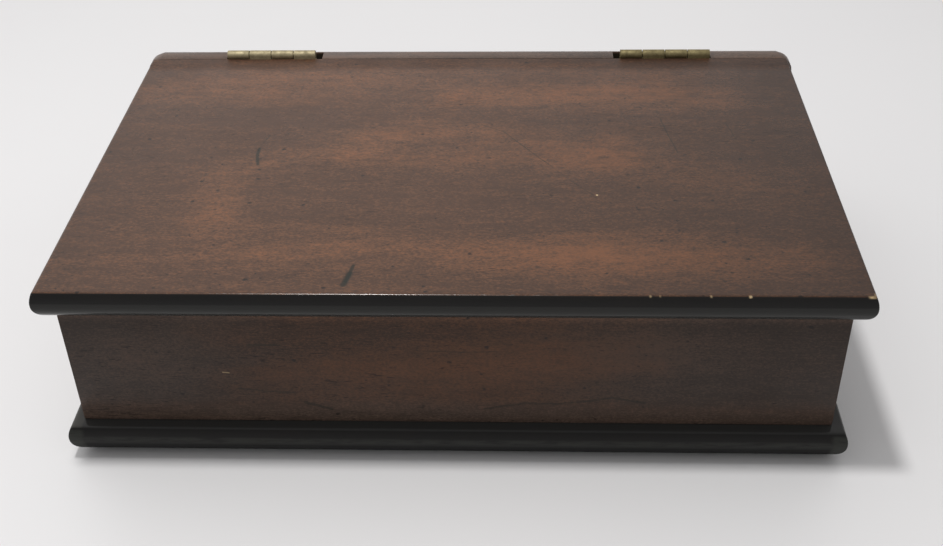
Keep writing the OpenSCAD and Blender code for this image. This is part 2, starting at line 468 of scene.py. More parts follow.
BLACK_STAIN = (0.0112, 0.0108, 0.0105)
FADED_STAIN = (0.0130, 0.0118, 0.0110)
STAINED_GRAIN = (0.016, 0.0145, 0.0135)
RUBBED_BLACK = (0.036, 0.038, 0.033)
# Painted light on the base's shaded ledge, lighter beyond the left wall
PAINTED_LIGHT_OUTER_LEDGE = (0.074, 0.072, 0.066)
PAINTED_LIGHT_LEDGE = (0.041, 0.041, 0.040)

BRASS = (0.45, 0.39, 0.245)
TARNISH = (0.31, 0.265, 0.165)
TARNISH_SPOT = (0.15, 0.115, 0.065)
THICK_TARNISH = (0.57, 0.55, 0.43, 1.0)

# Noise cycles to a millimetre, along the grain and across it
BROAD = (0.009, 0.060, 0.060)
BANDS = (0.022, 0.20, 0.20)
FIBRE = (0.16, 2.4, 2.4)
MOTTLE = (0.16, 0.42, 0.42)
GRIT = (0.95, 1.9, 1.9)
DASHES = (0.30, 2.3, 2.3)
WANDER = (0.010, 0.025, 0.025)

# How far each noise swings the wood between its dark and its light colour
BAND_LIGHT, FIBRE_SWING, MOTTLE_SWING, GRIT_SWING = 0.22, 0.60, 0.90, 2.6

# Depths in the lacquer, in millimetres
PEEL_DEPTH, FIBRE_DEPTH, PORE_DEPTH, PIT_DEPTH = 0.014, 0.0025, 0.005, 0.007


def mahogany(name, grain="X", figure=None, shade=None, marks=None, gloss=0.27, tone=1.0, ior=1.42,
             pores=0.5, pits=0.5, crowd=None, haze=None, polish=None):
    """Lacquered mahogany. figure(s, place) gives the broad light figure from 0 to 1, shade(s) a
    factor on the colour, which paints light and shade on the lid and the front, marks(s) a list of
    (mask, darkening, depth in millimetres), crowd(s) how thickly the pores stand and haze(s) how
    far a grey veil covers the stain, both from 0 to 1; that veil is painted sheen on the spine and
    part of the painted light at the front's foot.
    polish(s) is above 0 where hands have polished it and below 0 where it is dull. pores and pits
    say how dark those are; gloss is the roughness and tone a factor on the whole colour."""
    s = Shader(name, IOR=ior)
    place = along_grain(s, grain)

    # Slow warp, so that the grain wanders
    warped = swung(s, place, s.stretched(place, WANDER, 3, output="Color"), (16, 9, 9))

    bands = s.stretched(warped, BANDS, 4, 0.6)
    fibre = s.stretched(warped, FIBRE, 3, 0.6)
    mottle = s.stretched(place, MOTTLE, 4, 0.65)
    grit = s.stretched(place, GRIT, 3, 0.75)

    if figure:
        light = figure(s, warped)
    else:
        broad = s.stretched(warped, BROAD, 4, 0.60)
        light = s.times(s.between(broad, 0.38, 0.70), s.between(bands, 0.30, 0.70, 0.45, 1.30))
    light = s.plus(light, s.times(s.between(bands, 0.3, 0.7), BAND_LIGHT))
    for grain_noise, strength in ((fibre, FIBRE_SWING), (mottle, MOTTLE_SWING), (grit, GRIT_SWING)):
        light = s.plus(light, s.times(s.minus(grain_noise, 0.5), strength))
    light = s.maths("MAXIMUM", light, 0.0)

    low = s.mix(s.between(light, -0.1, 0.5), DARK_WOOD, MID_WOOD)
    colour = s.mix(s.between(light, 0.25, 1.25), low, LIGHT_WOOD)
    # A grey veil: painted sheen on the spine and part of the painted light at the front's foot
    if haze:
        colour = s.mix(haze(s), colour, s.dimmed(GREY_VEIL, s.between(light, -0.3, 0.9, 0.6, 1.5)))
    if tone != 1.0:
        colour = s.dimmed(colour, (tone, tone, tone, 1.0))
    # A factor on the colour: painted light on the front, painted shade towards the lid's right
    if shade:
        colour = s.dimmed(colour, shade(s))

    # Open pores: short dark dashes along the grain, thicker where the grain is loose
    room = s.between(s.stretched(place, (0.03, 0.10, 0.10), 2), 0.35, 0.7)
    if crowd:
        room = s.times(room, crowd(s))
    dashes = s.stretched(place, DASHES, 2, 0.55)
    cut = s.minus(0.685, s.times(room, 0.10))
    pore = s.times(s.minus(dashes, cut), 16.0, clamp=True)
    colour = s.mix(s.times(pore, pores), colour, PORE)

    # Dark pits: a few large ones, many small ones
    shake = s.scaled(s.noise(place, 1.1, 2, output="Color"), (1.1, 0.7, 0.7))
    shaken = s.vector("ADD", place, shake)
    large = s.dots(s.scaled(shaken, (0.18, 0.22, 0.22)), 0.16)
    small = s.dots(s.scaled(shaken, (0.45, 0.60, 0.60)), 0.24)
    clump = s.stretched(place, (0.04, 0.08, 0.08), 2, 0.5)
    small = s.times(small, s.between(clump, 0.36, 0.60, 0.25, 0.85))
    pit = s.maths("MAXIMUM", large, small)
    colour = s.mix(s.times(pit, pits), colour, PORE)

    rough = s.stretched(s.place, (0.05, 0.05, 0.05), 3, 0.6)
    roughness = s.between(rough, 0.3, 0.7, gloss - 0.04, gloss + 0.06)
    roughness = s.plus(roughness, s.times(pore, 0.15))
    if polish:
        roughness = s.minus(roughness, s.times(polish(s), 0.10))

    normal = s.bump(s.noise(s.place, 0.16, 2, 0.5), PEEL_DEPTH)
    normal = s.bump(fibre, FIBRE_DEPTH, normal)
    normal = s.bump(s.minus(1.0, pore), PORE_DEPTH, normal)
    normal = s.bump(s.minus(1.0, pit), PIT_DEPTH, normal)
    for mask, darkening, depth in (marks(s) if marks else []):
        colour = s.mix(s.times(mask, abs(darkening)), colour,
                       BARE_WOOD if darkening < 0 else DENT_AND_NOTCH_SHADE)
        if depth:
            normal = s.bump(s.minus(1.0, mask), depth, normal)
    colour = s.mix(s.attribute("bare"), colour, BARE_WOOD)
    s.set(Base_Color=colour, Roughness=roughness, Normal=normal)
    return s.material


def ebonised(name, step_z, below, roughness, rubbed=None, ledge=None):
    """Black stain under lacquer, with another colour below a step at height step_z: on the lid's
    nose a greyer stain that is partly a painted reflection of the floor, on the base's nose a
    deeper black that is painted shade under it.
    roughness is that above the step and that below it. The black is worn grey where rubbed(s) says,
    and ledge(s) says where it keeps more gloss and takes a lighter grey, painted light on the
    shaded ledge, lighter still beyond the left wall."""
    s = Shader(name, IOR=1.28)
    cloud = s.stretched(s.place, (0.05, 0.2, 0.2), 3, 0.6)
    fine = s.stretched(s.place, (0.4, 2.5, 2.5), 3, 0.65)
    colour = s.mix(s.between(cloud, 0.35, 0.75), BLACK_STAIN, FADED_STAIN)
    colour = s.mix(s.between(fine, 0.60, 0.78, 0.0, 0.5), colour, STAINED_GRAIN)
    # Below the step: a greyer stain, partly painted reflection, on the lid's nose; a deeper black,
    # painted shade, on the base's
    step = s.times(s.between(s.z, step_z + 0.3, step_z - 0.3),
                   s.between(s.z, step_z, step_z - 4.8, 0.72, 1.0))
    colour = s.mix(step, colour, below)
    rough = s.between(step, 0.0, 1.0, *roughness)
    rough = s.plus(rough, s.between(cloud, 0.3, 0.7, -0.04, 0.04))
    if rubbed:
        colour = s.mix(s.times(rubbed(s), 0.6), colour, RUBBED_BLACK)
    if ledge:
        kept = ledge(s)
        # Painted light: a lighter grey on the shaded ledge, lighter still beyond the left wall
        painted_ledge_light = s.mix(s.between(s.x, LEFT_WALL_X - 0.5, LEFT_WALL_X + 0.5), PAINTED_LIGHT_OUTER_LEDGE, PAINTED_LIGHT_LEDGE)
        colour = s.mix(kept, colour, painted_ledge_light)
        rough = s.minus(rough, s.times(kept, 0.34))
    normal = s.bump(s.noise(s.place, 0.25, 2), 0.008)
    normal = s.bump(fine, 0.003, normal)
    colour = s.mix(s.attribute("bare"), colour, BARE_WOOD)
    s.set(Base_Color=colour, Roughness=rough, Normal=normal)
    return s.material


def aged_brass(name):
    """Dull brass under a thin film of tarnish, thicker on the right-hand hinge."""
    s = Shader(name, Metallic=0.70)
    patch = s.noise(s.place, 0.45, 4, 0.6)
    fine = s.noise(s.place, 4.0, 3, 0.6)
    drawn = s.stretched(s.place, (0.25, 9.0, 9.0), 3, 0.6)
    colour = s.mix(s.between(patch, 0.35, 0.7), BRASS, TARNISH)
    colour = s.mix(s.between(fine, 0.52, 0.75, 0.0, 0.65), colour, TARNISH_SPOT)
    older = s.dimmed(colour, THICK_TARNISH)
    colour = s.mix(s.between(s.x, -30.0, 30.0), colour, older)
    roughness = s.between(patch, 0.3, 0.75, 0.56, 0.72)
    normal = s.bump(drawn, 0.006)
    normal = s.bump(fine, 0.010, normal)
    s.set(Base_Color=colour, Roughness=roughness, Normal=normal)
    return s.material


def felt(name, colour, pale):
    """Short matted wool: crossing fibres, small pills and a soft sheen."""
    s = Shader(name, Roughness=0.95, Sheen_Weight=0.14, Sheen_Roughness=0.5,
               Sheen_Tint=(0.55, 0.85, 0.65, 1.0), IOR=1.35)
    one = s.stretched(s.place, (1.2, 6.0, 6.0), 3, 0.7, 1.2)
    two = s.stretched(s.place, (6.0, 1.2, 1.2), 3, 0.7, 1.2)
    fibres = s.maths("MAXIMUM", one, two)
    cloud = s.noise(s.place, 0.05, 4, 0.6)
    mixed = s.mix(s.between(cloud, 0.3, 0.7), colour, tuple(0.72 * c for c in colour))
    mixed = s.mix(s.between(fibres, 0.50, 0.72, 0.0, 0.7), mixed, pale)
    normal = s.bump(fibres, 0.16)
    normal = s.bump(s.noise(s.place, 1.3, 3, 0.6), 0.12, normal)
    s.set(Base_Color=mixed, Normal=normal)
    return s.material


# ---- The lid's own figure, stain and marks; x and y are in millimetres ----

LID_RIBBONS = [
    # line of points, reach, strength
    ([(-34, 4), (-54, -3), (-68, -12), (-73, -24), (-71, -37)], 8.0, 0.33),
    ([(-71, -38), (-64, -50), (-48, -54)], 8.0, 0.16),
    ([(-34, -50), (-20, -50), (5, -54), (40, -56), (80, -57), (98, -58)], 8.5, 0.37),
    ([(-34, -2), (-10, -3), (18, -2), (48, -6)], 7.0, 0.38),
    ([(-28, 11), (0, 12), (26, 10)], 7.0, 0.36),
    ([(-6, 38), (20, 37), (56, 38), (88, 35)], 8.0, 0.42),
    ([(54, -6), (78, -17), (98, -22)], 9.0, 0.24),
]

LID_PATCHES = [
    # centre, half lengths, turn, strength; the last one is dark
    ((-74, 43), (46, 12), -2, 0.52),
    ((-45, 53), (30, 8), 2, 0.18),
    ((20, 54), (60, 8), 0, 0.20),
    ((66, 49), (22, 10), 0, 0.30),
    ((32, 38), (36, 9), 0, 0.24),
    ((62, 40), (24, 8), 0, 0.16),
    ((46, 8), (14, 9), 0, 0.34),
    ((40, -4), (18, 11), -20, 0.28),
    ((38, -54), (32, 9), 0, 0.34),
    ((48, -62), (34, 6), 0, 0.38),
    ((-62, -57), (36, 9), 0, 0.20),
    ((-20, 24), (30, 9), 0, 0.08),
    ((-72, 23), (28, 6), 0, -0.16),
]


def lid_figure(s, place):
    flecked = s.stretched(place, (0.10, 0.22, 0.22), 5, 0.72)
    lights = patch_light(s, place, LID_PATCHES)
    lights += [s.times(ribbon(s, place, points, reach), strength)
               for points, reach, strength in LID_RIBBONS]
    return s.times(reduce(s.plus, lights), s.between(flecked, 0.28, 0.70, 0.50, 1.22))


def lid_shade(s):
    """Painted shade: the colour is lighter on the left and darker towards the right, as if less
    light fell there. It is also a little darker along the edges at the sides and the rear.
    """
    swing = s.minus(s.noise(s.place, 0.02, 3, 0.6), 0.5)
    from_side = s.minus(LID_HIGH.x, s.maths("ABSOLUTE", s.x))
    from_rear = s.minus(LID_HIGH.y, s.y)
    nearest = s.maths("MINIMUM", from_side, s.times(from_rear, 2.0))
    nearest = s.plus(nearest, s.times(swing, 40.0))
    edge = s.between(nearest, 0.0, 30.0, 0.84, 1.0)
    across = s.plus(s.x, s.times(swing, 60.0))
    return s.times(edge, s.between(across, -40.0, 105.0, 1.14, 0.70))


LID_SCRATCHES = [
    # points, width, darkening, depth
    ([(-62.2, 11), (-64.0, 5), (-64.4, 2.5)], 0.8, 0.35, 0.0),
    ([(-64.4, 2.5), (-64.3, -2), (-63.2, -7.5)], 1.5, 0.80, 0.01),
    ([(-27.2, -61.3), (-27.9, -66), (-28.5, -69.0)], 1.5, 0.80, 0.01),
    ([(-27.8, -65), (-28.3, -67.5), (-29.0, -70.4)], 2.5, 0.85, 0.02),
    ([(6.5, 18), (14, 13), (25, -3), (28, -7)], 0.55, 0.60, 0.0),
    ([(28, -7), (34, -16), (42, -26)], 0.45, 0.40, 0.0),
    ([(65.2, 22), (66.8, 11), (68.8, 0)], 0.60, 0.62, 0.0),
    ([(86.2, 19), (88.2, 8.5)], 0.55, 0.45, 0.0),
]

LID_FLECK = (42.2, -24.8, 0)


def lid_polish(s):
    """Smooth along the front arris, where fingers lift the lid, and dull with wax at the hinges."""
    fingered = s.between(s.y, LID_LOW.y + 2.3, LID_LOW.y + 1.5)
    waxed = s.between(s.y, LID_HIGH.y - 11.0, LID_HIGH.y - 5.0, 0.0, -2.4)
    return s.plus(fingered, waxed)


def lid_marks(s):
    """Scratches, dents and a pale fleck, all on the top face."""
    top = s.between(s.z, TOP_Z - 1.0, TOP_Z - 0.5)
    from_fleck = s.vector("DISTANCE", s.scaled(s.place, (1, 1, 0)), LID_FLECK)
    marks = drawn_marks(s, s.place, LID_SCRATCHES) + [(s.between(from_fleck, 0.45, 0.2), -1.0, 0)]
    return [(s.times(mask, top), darkening, depth) for mask, darkening, depth in marks]


# ---- The front wall's figure and marks; x and z are in millimetres ----

FRONT_PATCHES = [
    # centre, half lengths, turn, strength
    ((-8, 30), (50, 12), 0, 0.62),
    ((44, 38), (34, 10), 0, 0.60),
    ((-92, 36), (10, 9), 0, 0.30),
    ((-78, 34), (26, 12), 0, 0.16),
]

FRONT_STREAKS = [
    # points, width, darkening, depth
    ([(-58.0, 40.4), (-48.7, 40.5)], 0.8, 0.55, 0.0),
    ([(-43.5, 18.9), (-40.0, 17.8), (-35.8, 16.3)], 1.4, 0.55, 0.0),
    ([(9.2, 16.8), (20.4, 19.2), (30.1, 19.0), (40.4, 20.4), (46.2, 21.5), (55.2, 19.6)],
     1.1, 0.50, 0.0),
    ([(-62.5, 24.2), (-54.0, 23.0), (-46.0, 22.6)], 0.9, 0.45, 0.0),
    ([(-8.0, 38.6), (4.0, 38.2), (13.0, 38.6)], 0.7, 0.40, 0.0),
]


def upright(s, place):
    """A place as it is seen from the front: x across and z up."""
    x, _, z = s.split(place)
    return s.joined(x, z, 0.0)


def front_figure(s, place):
    return reduce(s.plus, patch_light(s, upright(s, place), FRONT_PATCHES))


def front_painted_light(s):
    """Painted light: the colour is lifted along the foot and the top of the wall, where the ledge
    and the lid's nose shade it.
    """
    foot = s.between(s.z, 24.0, LEDGE_Z, 0.0, 1.25)
    seat = s.between(s.z, LEDGE_Z + 3.5, LEDGE_Z, 0.0, 0.75)
    top = s.between(s.z, 48.0, 51.5, 0.0, 1.10)
    return reduce(s.plus, [foot, seat, top, 1.0])


def front_haze(s):
    """Greys the colour towards the ends of the wall and at its foot, where it tints the painted
    light there.
    """
    cloud = s.stretched(s.place, (0.03, 0.10, 0.10), 3, 0.6)
    swing = s.times(s.minus(cloud, 0.5), 50.0)
    out = s.plus(s.maths("ABSOLUTE", s.plus(s.x, 8.0)), swing)
    ends = s.between(out, 25.0, 75.0, 0.0, 0.62)
    return s.maths("MAXIMUM", ends, s.between(s.z, 22.0, 14.0, 0.0, 0.85))


def front_marks(s):
    """Dark streaks and one pale chip."""
    flat = upright(s, s.place)
    chip = line_mark(s, flat, [(-66.2, 30.2), (-64.4, 30.0)], 0.55, 0.1)
    return drawn_marks(s, flat, FRONT_STREAKS) + [(chip, -0.45, 0.02)]


def front_crowd(s):
    """Pores stand thickest on the left."""
    return s.between(s.x, -60.0, 70.0, 1.0, 0.25)


def base_rub(s):
    """A rubbed band round the widest part of the base's nose, and more at its two ends."""
    band = s.between(s.maths("ABSOLUTE", s.minus(s.z, BASE_NOSE_Z + 0.1)), 1.5, 0.6)
    broken = s.stretched(s.place, (0.12, 0.12, 0.9), 4, 0.65)
    band = s.times(band, s.between(broken, 0.30, 0.60))
    ends = s.times(s.between(s.maths("ABSOLUTE", s.x), 109.0, 111.0, 0.0, 1.35),
                   s.between(s.z, BASE_NOSE_Z + 3.6, BASE_NOSE_Z + 2.8))
    return s.maths("MAXIMUM", band, s.times(ends, s.between(broken, 0.15, 0.55)))


def base_ledge(s):
    """The flat ledge at the foot of the walls, which nothing rubs; it keeps more gloss and gets
    painted light.
    """
    return s.between(s.z, LEDGE_Z - 0.5, LEDGE_Z - 0.05)


def spine_painted_sheen(s):
    """Painted sheen: a grey veil over the spine, most along its top."""
    return s.between(s.z, 50.0, 60.0, 0.35, 0.75)


def spine_marks(s):
    """Painted shade that darkens the notches for the hinges."""
    from_middle = s.maths("ABSOLUTE", s.minus(s.maths("ABSOLUTE", s.x), NOTCH_SPACING / 2))
    inside = s.between(from_middle, NOTCH_LENGTH / 2 + 0.1, NOTCH_LENGTH / 2)
    inside = s.times(inside, s.between(s.z, TOP_Z - 0.35, TOP_Z - 0.9))
    back = LID_HIGH.y + RECESS_BACK
    return [(s.times(inside, s.between(s.y, back + 0.3, back + 0.05)), 0.80, 0.0)]


lid_wood = mahogany("Mahogany_lid", "X", lid_figure, lid_shade, lid_marks, tone=0.92, ior=1.39,
                    pits=0.85, polish=lid_polish)
front_wood = mahogany("Mahogany_front", "X", front_figure, front_painted_light, front_marks, gloss=0.42,
                      tone=0.57, ior=1.36, pores=0.70, pits=0.80, crowd=front_crowd,
                      haze=front_haze)
side_wood = mahogany("Mahogany_side", "Y", gloss=0.40, tone=0.60, ior=1.38)
spine_wood = mahogany("Mahogany_spine", "X", marks=spine_marks, gloss=0.30, haze=spine_painted_sheen)
divider_wood = mahogany("Mahogany_divider", "Y", gloss=0.42)
# The lid's nose is greyer below the step, partly a painted reflection of the floor
black_edge = ebonised("Ebonised_edge", LID_NOSE_Z + 1.0, (0.030, 0.030, 0.028), (0.38, 0.17))
# Below its step the base's nose is a deeper black, painted shade; its ledge gets painted light
black_base = ebonised("Ebonised_base", BASE_NOSE_Z - 1.6, (0.004, 0.004, 0.004), (0.48, 0.60),
                      base_rub, base_ledge)
brass = aged_brass("Aged_brass")
green_felt = felt("Green_felt", (0.022, 0.085, 0.045), (0.07, 0.18, 0.10))


# ======== Boards ========

def nose_line(arris_inset, nose_drop, under_inset, low_z, high_z):
    """The edge of a board as (inset, z) points, from a flat strip on top to one underneath."""
    nose_z = high_z - nose_drop
    top_radius = (arris_inset ** 2 + nose_drop ** 2) / (2 * arris_inset)
    under = nose_z - low_z
    under_radius = (under_inset ** 2 + under ** 2) / (2 * under_inset)
    top_angle = math.degrees(math.asin(nose_drop / top_radius))
    under_angle = math.degrees(math.asin(under / under_radius))
    upper = arc_points((-top_radius, nose_z), top_radius, top_angle, 0, UPPER_NOSE_STEPS)
    lower = arc_points((-under_radius, nose_z), under_radius, 0, -under_angle, LOWER_NOSE_STEPS)
    points = [(-FLAT_RIM, high_z), (-arris_inset - 1.5, high_z)] + upper + lower[1:]
    points += [(-under_inset - 2, low_z), (-FLAT_RIM, low_z)]
    points = softened(points, 2, ARRIS_SOFTNESS, ARRIS_STEPS)
    return [(-inset, z) for inset, z in points]


def board(name, low, high, shape, materials, step, dings=()):
    """A board nosed along its front and sides, swept round them in one piece. dings are
    (x, reach, depth) chips along the front of its top arris, all in millimetres."""
    line = nose_line(**shape, low_z=low.z, high_z=high.z)
    centre_x = (low.x + high.x) / 2
    middle_z = (low.z + high.z) / 2
    half = (high.z - low.z) / 2
    bm = bmesh.new()
    bare = bm.verts.layers.float.new("bare")

    def stations():
        """(point for an inset, pull of the rear rounding) from the rear to the front's middle."""
        side_steps = round((high.y - low.y) / (2 * step))
        half_front = round((high.x - low.x) / step) // 2
        made = []
        for k in range(REAR_STEPS + 1):
            angle = math.pi / 2 * k / REAR_STEPS
            back = high.y - REAR_SOFTNESS * (1 - math.cos(angle))
            made.append((lambda i, b=back: (low.x + i, b), REAR_SOFTNESS * (1 - math.sin(angle))))
        for k in range(1, side_steps):
            made.append((lambda i, t=k / side_steps: (low.x + i, high.y - REAR_SOFTNESS + t * (
                low.y + i + CORNER_RADIUS - high.y + REAR_SOFTNESS)), 0))
        for k in range(CORNER_STEPS + 1):
            made.append((lambda i, a=math.pi / 2 * k / CORNER_STEPS: (
                low.x + i + CORNER_RADIUS * (1 - math.cos(a)),
                low.y + i + CORNER_RADIUS * (1 - math.sin(a))), 0))
        for k in range(1, half_front):
            made.append((lambda i, t=k / half_front: (
                (low.x + i + CORNER_RADIUS) * (1 - t) + t * centre_x, low.y + i), 0))
        return made

    left = stations()
    columns = [(place, pull, 1) for place, pull in left]
    columns.append((lambda i: (centre_x, low.y + i), 0, 1))
    columns += [(place, pull, -1) for place, pull in reversed(left)]

    grid = []
    for place, pull, side in columns:
        column = []
        for inset, z in line:
            x, y = place(inset + pull)
            x = x if side == 1 else 2 * centre_x - x
            z = middle_z + (z - middle_z) * (1 - pull / half)
            column.append(bm.verts.new((x, y, z)))
        grid.append(column)
    rows = len(line)
    edge_row = next(k for k, (_, z) in enumerate(line) if z < high.z - BLACK_FROM)
    for a, b in zip(grid, grid[1:]):
        for k in range(rows - 1):
            face = bm.faces.new((a[k], a[k + 1], b[k + 1], b[k]))
            face.material_index = 1 if edge_row <= k < rows - 2 else 0
    # Strips across the rear keep its rounding away from the flat faces
    for k in range(REAR_STRIPS):
        across = (grid[k], grid[k + 1], grid[-2 - k], grid[-1 - k])
        bm.faces.new([column[0] for column in across])
        bm.faces.new([column[-1] for column in across][::-1])
    middle = grid[REAR_STRIPS:-REAR_STRIPS]
    bm.faces.new([column[0] for column in middle])
    bm.faces.new([column[-1] for column in middle][::-1])
    bm.faces.new(grid[0][::-1] + grid[-1])

    wear_arris(grid, edge_row, bare, dings)
    return mesh_piece(name, bm, materials)


def wear_arris(grid, edge_row, bare, dings):
    """Knocks chips into the top arris and rubs it slightly along its length."""
    for column in grid:
        for k, vert in enumerate(column):
            near = 1 - min(1, abs(k - edge_row) / WORN_ROWS)
            if near <= 0 or k < 1:
                continue
            ripple = noise.noise(vert.co * 0.35) * 0.5 + noise.noise(vert.co * 1.7) * 0.5
            push = ARRIS_WEAR * near * max(0, ripple)
            front = vert.co.y < grid[len(grid) // 2][edge_row].co.y + FRONT_STRIP
            for x, reach, depth in dings:
                if front and abs(vert.co.x - x) < reach:
                    share = 1 - (abs(vert.co.x - x) / reach) ** 2
                    rough = 0.75 + 0.5 * noise.noise(vert.co * 2.3)
                    push = max(push, depth * share * near * rough)
                    shown = 1.6 * share * near * rough * min(1, depth / FULL_CHIP)
                    vert[bare] = max(vert[bare], min(1, shown))
            vert.co.z -= push
            vert.co.y += 0.7 * push if front else 0


lid_swollen = LID_HIGH + Vector((0, SEAM_FILL, 0))
lid_looks = [lid_wood, black_edge]
lid = board("Lid_board", LID_LOW, lid_swollen, LID_NOSE, lid_looks, LID_STEP, LID_DINGS)
stand_for(lid, "lid")

base_looks = [black_base, black_base]
base = board("Base_board", BASE_LOW, BASE_HIGH, BASE_NOSE, base_looks, BASE_STEP)
stand_for(base, "case")


# ======== Walls and dividers ========

def wall(node, outline, material):
    """A wall from its plan outline in millimetres, as high as its CAD node."""
    low, high = box_in_mm(node)
    bm = bmesh.new()
    prism(bm, outline, high.z - low.z, lambda a, b, h: (a, b, low.z + h))
    piece = bevel(mesh_piece(node.capitalize(), bm, [material]), WALL_EDGE)
    return stand_for(piece, "case")


wall("front_wall", [
    (FRONT_LOW.x, FRONT_LOW.y), (FRONT_HIGH.x, FRONT_LOW.y),
    (INNER_X, FRONT_HIGH.y), (-INNER_X, FRONT_HIGH.y),
], front_wood)
for side, label in ((-1, "left"), (1, "right")):
    wall(f"{label}_wall", [
        (side * FRONT_HIGH.x, FRONT_LOW.y), (side * INNER_X, FRONT_HIGH.y),
        (side * INNER_X, SPINE_LOW.y), (side * FRONT_HIGH.x, SPINE_LOW.y),
    ], side_wood)


def divider(node):
    """A divider with a half-round top edge."""
    low, high = box_in_mm(node)
    radius = (high.x - low.x) / 2
    top = arc_points(((low.x + high.x) / 2, high.z - radius), radius, 0, 180, 12)
    outline = [(low.x, low.z), (high.x, low.z)] + top
    bm = bmesh.new()
    prism(bm, outline, high.y - low.y, lambda a, b, h: (a, low.y + h, b))
    piece = bevel(mesh_piece(node.capitalize(), bm, [divider_wood]), DIVIDER_EDGE, 2, 60)
    return stand_for(piece, "case")


divider("left_divider")
divider("right_divider")


# ======== Spine ========

def spine():
    """The spine board, rounded behind and at its corners, with a notch for each hinge."""
    low, high = SPINE_LOW, SPINE_HIGH
    bm = box_mesh(low, high)
    rounded = [e for e in bm.edges if any(v.co.y > low.y + 0.01 for v in e.verts)]
    bmesh.ops.bevel(bm, geom=rounded, offset=SPINE_RADIUS, segments=12, profile=0.5,
                    affect="EDGES", clamp_overlap=True)
    piece = mesh_piece("Spine_board", bm, [spine_wood])
    for side in (-1, 1):
        middle = side * NOTCH_SPACING / 2
        for back, drop in ((SEAT_BACK, SEAT_DROP), (RECESS_BACK, RECESS_DROP)):
            cutter = mesh_piece("Cutter", box_mesh(
                (middle - NOTCH_LENGTH / 2, low.y - 2, high.z - drop),
                (middle + NOTCH_LENGTH / 2, LID_HIGH.y + back, high.z + 2)), [])
            combine(piece, cutter, "DIFFERENCE")
    bevel(piece, SPINE_EDGE, 2, 50)
    return stand_for(piece, "case")


spine()


# ======== Hinges ========

def lathe(bm, line, turns, place):
    """Adds a closed solid of revolution from (radius, height) points, its ends on the axis."""
    rings = []
    for radius, height in line:
        if radius < 1e-6:
            rings.append([bm.verts.new(place(0, 0, height))])
            continue
        rings.append([bm.verts.new(place(
            radius * math.cos(2 * math.pi * k / turns),
            radius * math.sin(2 * math.pi * k / turns), height)) for k in range(turns)])
    for a, b in zip(rings, rings[1:]):
        for k in range(turns):
            j = (k + 1) % turns
            corners = [a[k % len(a)], a[j % len(a)], b[j % len(b)], b[k % len(b)]]
            bm.faces.new(list(dict.fromkeys(corners)))


def leaf_outline(barrel):
    """The rolled end of a leaf, in the plane across the hinge axis: (y, z) about the axis."""
    inner_face = LEAF - barrel
    outer = arc_points((0, 0), barrel, 180, -ROLL_END, 40)
    meet = 180 + math.degrees(math.acos(-inner_face / BORE_RADIUS))
    inner = arc_points((0, 0), BORE_RADIUS, -ROLL_END, meet, 36)
    below = -LEAF_CUT_BACK - 0.3
    return [(-barrel, below)] + outer + inner + [(inner_face, below)]


def screw_places(label, part, direction):
    """For each of a leaf's two screws, what puts its own (a, b, height) in space."""
    low, high = box_in_mm(f"{label}_hinge_{part}_leaf")
    inner_y = HINGE_AXIS.y + direction * (high.z - HINGE_AXIS.z - LEAF)
    return [lambda a, b, h, x=(low.x + high.x) / 2 + shift: (
        x + a, inner_y - direction * h, HINGE_AXIS.z - SCREW_BELOW_AXIS + b)
        for shift in (-SCREW_SPACING / 2, SCREW_SPACING / 2)]


def hinge_leaf(label, part, first, direction):
    """One leaf with its rolled knuckles; direction is -1 for the lid's leaf, 1 for the case's."""
    node = f"{label}_hinge_{part}_leaf"
    low, high = box_in_mm(node)
    axis = HINGE_AXIS
    barrel = high.z - axis.z
    pitch = (high.x - low.x + KNUCKLE_GAP) / KNUCKLES
    outline = (
        arc_points((low.x + LEAF_CORNER, low.z + LEAF_CORNER), LEAF_CORNER, 180, 270, 5)
        + arc_points((high.x - LEAF_CORNER, low.z + LEAF_CORNER), LEAF_CORNER, 270, 360, 5)
        + [(high.x, axis.z - LEAF_CUT_BACK), (low.x, axis.z - LEAF_CUT_BACK)]
    )
    bm = bmesh.new()
    face_y = axis.y + direction * barrel
    prism(bm, outline, LEAF, lambda a, b, h: (a, face_y - direction * h, b))
    piece = mesh_piece(node.capitalize(), bm, [brass])
    for i in range(first, KNUCKLES, 2):
        start = low.x + i * pitch
        bm = bmesh.new()
        prism(bm, leaf_outline(barrel), pitch - KNUCKLE_GAP,
              lambda a, b, h: (start + h, axis.y - direction * a, axis.z + b))
        combine(piece, mesh_piece("Knuckle", bm, [brass]), "UNION")
    cone = HEAD_RADIUS - SHANK_RADIUS
    head, shank = HEAD_RADIUS + CLEARANCE, SHANK_RADIUS + CLEARANCE
    for place in screw_places(label, part, direction):
        bm = bmesh.new()
        line = [(0, 1), (head, 1), (head, 0), (shank, -cone), (shank, -cone - 1), (0, -cone - 1)]
        lathe(bm, line, 40, place)
        combine(piece, mesh_piece("Countersink", bm, []), "DIFFERENCE")
    bevel(piece, LEAF_EDGE, 2, 45)
    return stand_for(piece, part)


def hinge_pin(node):
    """A pin, with its ends peened to low domes."""
    low, high = box_in_mm(node)
    half = (high.x - low.x) / 2
    angles = [math.radians(degrees) for degrees in (0, 20, 40, 60, 75, 90)]
    dome = [(PIN_RADIUS * math.sin(a), half - PIN_DOME * (1 - math.cos(a))) for a in angles]
    line = dome + [(r, -h) for r, h in reversed(dome)]
    bm = bmesh.new()
    lathe(bm, line, 32, lambda a, b, h: (
        (low.x + high.x) / 2 + h, HINGE_AXIS.y + a, HINGE_AXIS.z + b))
    return stand_for(mesh_piece(node.capitalize(), bm, [brass]), "case")


